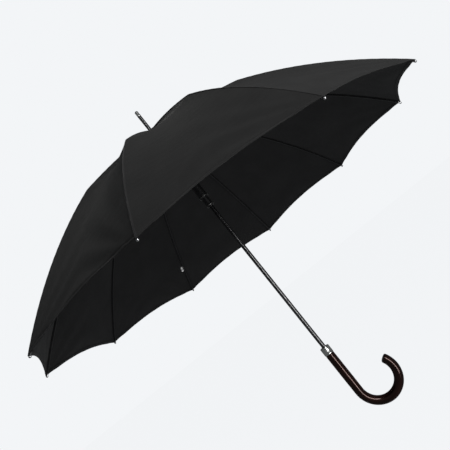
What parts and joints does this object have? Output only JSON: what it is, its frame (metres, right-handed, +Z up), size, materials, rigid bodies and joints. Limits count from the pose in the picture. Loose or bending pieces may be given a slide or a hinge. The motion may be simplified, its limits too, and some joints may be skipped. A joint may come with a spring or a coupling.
{
  "type": "stick umbrella",
  "caption": "Full-length stick umbrella, open: domed black canopy on hinged ribs and stretchers, sliding runner, slim shaft with ferrule, nickel collar and dark crook handle.",
  "frame": {"origin": "on the shaft's axis at the middle of the handle's straight grip", "axes": "+Z up the shaft towards the ferrule; the crook bends towards +X"},
  "size_m": [1.0168, 1.045, 0.8837],
  "materials": {
    "canopy_fabric": "fine plain-weave pongee, charcoal black",
    "strap_fabric": "folded pongee band",
    "rib_steel": "black lacquered fluted steel",
    "rib_glassfibre": "black glass-fibre rod with a nickel bead",
    "shaft_black": "gloss black",
    "runner_plastic": "satin black",
    "bright_nickel": "bright nickel plate",
    "spring_steel": "bare spring steel",
    "handle_wood": "dark lacquered wood"
  },
  "bodies": {
    "root": {"shaft_tube": "shaft_black", "crook_handle": "handle_wood", "handle_collar": "bright_nickel", "ferrule_tube": "shaft_black", "ferrule_cap": "bright_nickel", "crown_rosette": "strap_fabric", "top_notch": "runner_plastic", "notch_wire": "spring_steel"},
    "runner": {"runner_sleeve": "runner_plastic", "runner_wire": "spring_steel", "runner_trim_rings": "bright_nickel"},
    "top_catch": {"top_catch": "spring_steel"},
    "bottom_catch": {"bottom_catch": "spring_steel"},
    "rib_inner_01": {"rib_inner_01": "rib_steel"},
    "rib_outer_01": {"rib_outer_01": "rib_glassfibre"},
    "stretcher_01": {"stretcher_01": "rib_steel"},
    "canopy_panel_01": {"canopy_panel_01": "canopy_fabric"},
    "rib_inner_02": {"rib_inner_02": "rib_steel"},
    "rib_outer_02": {"rib_outer_02": "rib_glassfibre"},
    "stretcher_02": {"stretcher_02": "rib_steel"},
    "canopy_panel_02": {"canopy_panel_02": "canopy_fabric"},
    "rib_inner_03": {"rib_inner_03": "rib_steel"},
    "rib_outer_03": {"rib_outer_03": "rib_glassfibre"},
    "stretcher_03": {"stretcher_03": "rib_steel"},
    "canopy_panel_03": {"canopy_panel_03": "canopy_fabric"},
    "rib_inner_04": {"rib_inner_04": "rib_steel"},
    "rib_outer_04": {"rib_outer_04": "rib_glassfibre", "tie_strap": "strap_fabric", "strap_stud": "bright_nickel"},
    "stretcher_04": {"stretcher_04": "rib_steel"},
    "canopy_panel_04": {"canopy_panel_04": "canopy_fabric"},
    "rib_inner_05": {"rib_inner_05": "rib_steel"},
    "rib_outer_05": {"rib_outer_05": "rib_glassfibre"},
    "stretcher_05": {"stretcher_05": "rib_steel"},
    "canopy_panel_05": {"canopy_panel_05": "canopy_fabric"},
    "rib_inner_06": {"rib_inner_06": "rib_steel"},
    "rib_outer_06": {"rib_outer_06": "rib_glassfibre"},
    "stretcher_06": {"stretcher_06": "rib_steel"},
    "canopy_panel_06": {"canopy_panel_06": "canopy_fabric"},
    "rib_inner_07": {"rib_inner_07": "rib_steel"},
    "rib_outer_07": {"rib_outer_07": "rib_glassfibre"},
    "stretcher_07": {"stretcher_07": "rib_steel"},
    "canopy_panel_07": {"canopy_panel_07": "canopy_fabric"},
    "rib_inner_08": {"rib_inner_08": "rib_steel"},
    "rib_outer_08": {"rib_outer_08": "rib_glassfibre"},
    "stretcher_08": {"stretcher_08": "rib_steel"},
    "canopy_panel_08": {"canopy_panel_08": "canopy_fabric"},
    "rib_inner_09": {"rib_inner_09": "rib_steel"},
    "rib_outer_09": {"rib_outer_09": "rib_glassfibre"},
    "stretcher_09": {"stretcher_09": "rib_steel"},
    "canopy_panel_09": {"canopy_panel_09": "canopy_fabric"},
    "rib_inner_10": {"rib_inner_10": "rib_steel"},
    "rib_outer_10": {"rib_outer_10": "rib_glassfibre"},
    "stretcher_10": {"stretcher_10": "rib_steel"},
    "canopy_panel_10": {"canopy_panel_10": "canopy_fabric"}
  },
  "joints": [
    {"name": "canopy_fold", "type": "hinge", "parent": "root", "child": "rib_inner_01", "pos_m": [0.01261, 0.00314, 0.70779], "axis": [-0.2419, 0.9703, 0], "range_deg": [0, 70]},
    {"name": "stretcher_fold_01", "type": "hinge", "parent": "rib_inner_01", "child": "stretcher_01", "pos_m": [0.23463, 0.0585, 0.629], "axis": [-0.2419, 0.9703, 0], "range_deg": [-140, 0]},
    {"name": "rib_flex_01", "type": "hinge", "parent": "rib_inner_01", "child": "rib_outer_01", "pos_m": [0.23463, 0.0585, 0.629], "axis": [-0.2419, 0.9703, 0], "range_deg": [-21.6, 0]},
    {"name": "panel_fold_01", "type": "hinge", "parent": "root", "child": "canopy_panel_01", "pos_m": [0.01102, 0.00689, 0.70779], "axis": [-0.5299, 0.848, 0], "range_deg": [0, 53.9], "deforming": ["canopy_panel_01"]},
    {"name": "rib_fold_02", "type": "hinge", "parent": "root", "child": "rib_inner_02", "pos_m": [0.00836, 0.00996, 0.70779], "axis": [-0.766, 0.6428, 0], "range_deg": [0, 70]},
    {"name": "stretcher_fold_02", "type": "hinge", "parent": "rib_inner_02", "child": "stretcher_02", "pos_m": [0.15544, 0.18524, 0.629], "axis": [-0.766, 0.6428, 0], "range_deg": [-140, 0]},
    {"name": "rib_flex_02", "type": "hinge", "parent": "rib_inner_02", "child": "rib_outer_02", "pos_m": [0.15544, 0.18524, 0.629], "axis": [-0.766, 0.6428, 0], "range_deg": [-21.6, 0]},
    {"name": "panel_fold_02", "type": "hinge", "parent": "root", "child": "canopy_panel_02", "pos_m": [0.00487, 0.01205, 0.70779], "axis": [-0.9272, 0.3746, 0], "range_deg": [0, 53.9], "deforming": ["canopy_panel_02"]},
    {"name": "rib_fold_03", "type": "hinge", "parent": "root", "child": "rib_inner_03", "pos_m": [0.00091, 0.01297, 0.70779], "axis": [-0.9976, 0.0698, 0], "range_deg": [0, 70]},
    {"name": "stretcher_fold_03", "type": "hinge", "parent": "rib_inner_03", "child": "stretcher_03", "pos_m": [0.01687, 0.24123, 0.629], "axis": [-0.9976, 0.0698, 0], "range_deg": [-140, 0]},
    {"name": "rib_flex_03", "type": "hinge", "parent": "rib_inner_03", "child": "rib_outer_03", "pos_m": [0.01687, 0.24123, 0.629], "axis": [-0.9976, 0.0698, 0], "range_deg": [-21.6, 0]},
    {"name": "panel_fold_03", "type": "hinge", "parent": "root", "child": "canopy_panel_03", "pos_m": [-0.00314, 0.01261, 0.70779], "axis": [-0.9703, -0.2419, 0], "range_deg": [0, 53.9], "deforming": ["canopy_panel_03"]},
    {"name": "rib_fold_04", "type": "hinge", "parent": "root", "child": "rib_inner_04", "pos_m": [-0.00689, 0.01102, 0.70779], "axis": [-0.848, -0.5299, 0], "range_deg": [0, 70]},
    {"name": "stretcher_fold_04", "type": "hinge", "parent": "rib_inner_04", "child": "stretcher_04", "pos_m": [-0.12814, 0.20507, 0.629], "axis": [-0.848, -0.5299, 0], "range_deg": [-140, 0]},
    {"name": "rib_flex_04", "type": "hinge", "parent": "rib_inner_04", "child": "rib_outer_04", "pos_m": [-0.12814, 0.20507, 0.629], "axis": [-0.848, -0.5299, 0], "range_deg": [-21.6, 0]},
    {"name": "panel_fold_04", "type": "hinge", "parent": "root", "child": "canopy_panel_04", "pos_m": [-0.00996, 0.00836, 0.70779], "axis": [-0.6428, -0.766, 0], "range_deg": [0, 53.9], "deforming": ["canopy_panel_04"]},
    {"name": "rib_fold_05", "type": "hinge", "parent": "root", "child": "rib_inner_05", "pos_m": [-0.01205, 0.00487, 0.70779], "axis": [-0.3746, -0.9272, 0], "range_deg": [0, 70]},
    {"name": "stretcher_fold_05", "type": "hinge", "parent": "rib_inner_05", "child": "stretcher_05", "pos_m": [-0.22421, 0.09059, 0.629], "axis": [-0.3746, -0.9272, 0], "range_deg": [-140, 0]},
    {"name": "rib_flex_05", "type": "hinge", "parent": "rib_inner_05", "child": "rib_outer_05", "pos_m": [-0.22421, 0.09059, 0.629], "axis": [-0.3746, -0.9272, 0], "range_deg": [-21.6, 0]},
    {"name": "panel_fold_05", "type": "hinge", "parent": "root", "child": "canopy_panel_05", "pos_m": [-0.01297, 0.00091, 0.70779], "axis": [-0.0698, -0.9976, 0], "range_deg": [0, 53.9], "deforming": ["canopy_panel_05"]},
    {"name": "rib_fold_06", "type": "hinge", "parent": "root", "child": "rib_inner_06", "pos_m": [-0.01261, -0.00314, 0.70779], "axis": [0.2419, -0.9703, 0], "range_deg": [0, 70]},
    {"name": "stretcher_fold_06", "type": "hinge", "parent": "rib_inner_06", "child": "stretcher_06", "pos_m": [-0.23463, -0.0585, 0.629], "axis": [0.2419, -0.9703, 0], "range_deg": [-140, 0]},
    {"name": "rib_flex_06", "type": "hinge", "parent": "rib_inner_06", "child": "rib_outer_06", "pos_m": [-0.23463, -0.0585, 0.629], "axis": [0.2419, -0.9703, 0], "range_deg": [-21.6, 0]},
    {"name": "panel_fold_06", "type": "hinge", "parent": "root", "child": "canopy_panel_06", "pos_m": [-0.01102, -0.00689, 0.70779], "axis": [0.5299, -0.848, 0], "range_deg": [0, 53.9], "deforming": ["canopy_panel_06"]},
    {"name": "rib_fold_07", "type": "hinge", "parent": "root", "child": "rib_inner_07", "pos_m": [-0.00836, -0.00996, 0.70779], "axis": [0.766, -0.6428, 0], "range_deg": [0, 70]},
    {"name": "stretcher_fold_07", "type": "hinge", "parent": "rib_inner_07", "child": "stretcher_07", "pos_m": [-0.15544, -0.18524, 0.629], "axis": [0.766, -0.6428, 0], "range_deg": [-140, 0]},
    {"name": "rib_flex_07", "type": "hinge", "parent": "rib_inner_07", "child": "rib_outer_07", "pos_m": [-0.15544, -0.18524, 0.629], "axis": [0.766, -0.6428, 0], "range_deg": [-21.6, 0]},
    {"name": "panel_fold_07", "type": "hinge", "parent": "root", "child": "canopy_panel_07", "pos_m": [-0.00487, -0.01205, 0.70779], "axis": [0.9272, -0.3746, 0], "range_deg": [0, 53.9], "deforming": ["canopy_panel_07"]},
    {"name": "rib_fold_08", "type": "hinge", "parent": "root", "child": "rib_inner_08", "pos_m": [-0.00091, -0.01297, 0.70779], "axis": [0.9976, -0.0698, 0], "range_deg": [0, 70]},
    {"name": "stretcher_fold_08", "type": "hinge", "parent": "rib_inner_08", "child": "stretcher_08", "pos_m": [-0.01687, -0.24123, 0.629], "axis": [0.9976, -0.0698, 0], "range_deg": [-140, 0]},
    {"name": "rib_flex_08", "type": "hinge", "parent": "rib_inner_08", "child": "rib_outer_08", "pos_m": [-0.01687, -0.24123, 0.629], "axis": [0.9976, -0.0698, 0], "range_deg": [-21.6, 0]},
    {"name": "panel_fold_08", "type": "hinge", "parent": "root", "child": "canopy_panel_08", "pos_m": [0.00314, -0.01261, 0.70779], "axis": [0.9703, 0.2419, 0], "range_deg": [0, 53.9], "deforming": ["canopy_panel_08"]},
    {"name": "rib_fold_09", "type": "hinge", "parent": "root", "child": "rib_inner_09", "pos_m": [0.00689, -0.01102, 0.70779], "axis": [0.848, 0.5299, 0], "range_deg": [0, 70]},
    {"name": "stretcher_fold_09", "type": "hinge", "parent": "rib_inner_09", "child": "stretcher_09", "pos_m": [0.12814, -0.20507, 0.629], "axis": [0.848, 0.5299, 0], "range_deg": [-140, 0]},
    {"name": "rib_flex_09", "type": "hinge", "parent": "rib_inner_09", "child": "rib_outer_09", "pos_m": [0.12814, -0.20507, 0.629], "axis": [0.848, 0.5299, 0], "range_deg": [-21.6, 0]},
    {"name": "panel_fold_09", "type": "hinge", "parent": "root", "child": "canopy_panel_09", "pos_m": [0.00996, -0.00836, 0.70779], "axis": [0.6428, 0.766, 0], "range_deg": [0, 53.9], "deforming": ["canopy_panel_09"]},
    {"name": "rib_fold_10", "type": "hinge", "parent": "root", "child": "rib_inner_10", "pos_m": [0.01205, -0.00487, 0.70779], "axis": [0.3746, 0.9272, 0], "range_deg": [0, 70]},
    {"name": "stretcher_fold_10", "type": "hinge", "parent": "rib_inner_10", "child": "stretcher_10", "pos_m": [0.22421, -0.09059, 0.629], "axis": [0.3746, 0.9272, 0], "range_deg": [-140, 0]},
    {"name": "rib_flex_10", "type": "hinge", "parent": "rib_inner_10", "child": "rib_outer_10", "pos_m": [0.22421, -0.09059, 0.629], "axis": [0.3746, 0.9272, 0], "range_deg": [-21.6, 0]},
    {"name": "panel_fold_10", "type": "hinge", "parent": "root", "child": "canopy_panel_10", "pos_m": [0.01297, -0.00091, 0.70779], "axis": [0.0698, 0.9976, 0], "range_deg": [0, 53.9], "deforming": ["canopy_panel_10"]},
    {"name": "runner_pivot", "type": "hinge", "parent": "stretcher_01", "child": "runner", "pos_m": [0.01261, 0.00314, 0.55021], "axis": [-0.2419, 0.9703, 0], "range_deg": [0, 70]},
    {"name": "top_catch_press", "type": "slide", "parent": "root", "child": "top_catch", "axis": [0.5, -0.866, 0], "range_m": [0, 0.0024], "stiffness_N_per_m": 900, "springref_m": -0.002},
    {"name": "bottom_catch_press", "type": "slide", "parent": "root", "child": "bottom_catch", "axis": [0.5, -0.866, 0], "range_m": [0, 0.0024], "stiffness_N_per_m": 900, "springref_m": -0.002}
  ],
  "couplings": [
    {"joint": "stretcher_fold_01", "follows": "canopy_fold", "ratio": -2},
    {"joint": "rib_flex_01", "follows": "canopy_fold", "ratio": -0.30857},
    {"joint": "panel_fold_01", "follows": "canopy_fold", "ratio": 0.77},
    {"joint": "rib_fold_02", "follows": "canopy_fold", "ratio": 1},
    {"joint": "stretcher_fold_02", "follows": "canopy_fold", "ratio": -2},
    {"joint": "rib_flex_02", "follows": "canopy_fold", "ratio": -0.30857},
    {"joint": "panel_fold_02", "follows": "canopy_fold", "ratio": 0.77},
    {"joint": "rib_fold_03", "follows": "canopy_fold", "ratio": 1},
    {"joint": "stretcher_fold_03", "follows": "canopy_fold", "ratio": -2},
    {"joint": "rib_flex_03", "follows": "canopy_fold", "ratio": -0.30857},
    {"joint": "panel_fold_03", "follows": "canopy_fold", "ratio": 0.77},
    {"joint": "rib_fold_04", "follows": "canopy_fold", "ratio": 1},
    {"joint": "stretcher_fold_04", "follows": "canopy_fold", "ratio": -2},
    {"joint": "rib_flex_04", "follows": "canopy_fold", "ratio": -0.30857},
    {"joint": "panel_fold_04", "follows": "canopy_fold", "ratio": 0.77},
    {"joint": "rib_fold_05", "follows": "canopy_fold", "ratio": 1},
    {"joint": "stretcher_fold_05", "follows": "canopy_fold", "ratio": -2},
    {"joint": "rib_flex_05", "follows": "canopy_fold", "ratio": -0.30857},
    {"joint": "panel_fold_05", "follows": "canopy_fold", "ratio": 0.77},
    {"joint": "rib_fold_06", "follows": "canopy_fold", "ratio": 1},
    {"joint": "stretcher_fold_06", "follows": "canopy_fold", "ratio": -2},
    {"joint": "rib_flex_06", "follows": "canopy_fold", "ratio": -0.30857},
    {"joint": "panel_fold_06", "follows": "canopy_fold", "ratio": 0.77},
    {"joint": "rib_fold_07", "follows": "canopy_fold", "ratio": 1},
    {"joint": "stretcher_fold_07", "follows": "canopy_fold", "ratio": -2},
    {"joint": "rib_flex_07", "follows": "canopy_fold", "ratio": -0.30857},
    {"joint": "panel_fold_07", "follows": "canopy_fold", "ratio": 0.77},
    {"joint": "rib_fold_08", "follows": "canopy_fold", "ratio": 1},
    {"joint": "stretcher_fold_08", "follows": "canopy_fold", "ratio": -2},
    {"joint": "rib_flex_08", "follows": "canopy_fold", "ratio": -0.30857},
    {"joint": "panel_fold_08", "follows": "canopy_fold", "ratio": 0.77},
    {"joint": "rib_fold_09", "follows": "canopy_fold", "ratio": 1},
    {"joint": "stretcher_fold_09", "follows": "canopy_fold", "ratio": -2},
    {"joint": "rib_flex_09", "follows": "canopy_fold", "ratio": -0.30857},
    {"joint": "panel_fold_09", "follows": "canopy_fold", "ratio": 0.77},
    {"joint": "rib_fold_10", "follows": "canopy_fold", "ratio": 1},
    {"joint": "stretcher_fold_10", "follows": "canopy_fold", "ratio": -2},
    {"joint": "rib_flex_10", "follows": "canopy_fold", "ratio": -0.30857},
    {"joint": "panel_fold_10", "follows": "canopy_fold", "ratio": 0.77},
    {"joint": "runner_pivot", "follows": "canopy_fold", "ratio": 1}
  ]
}
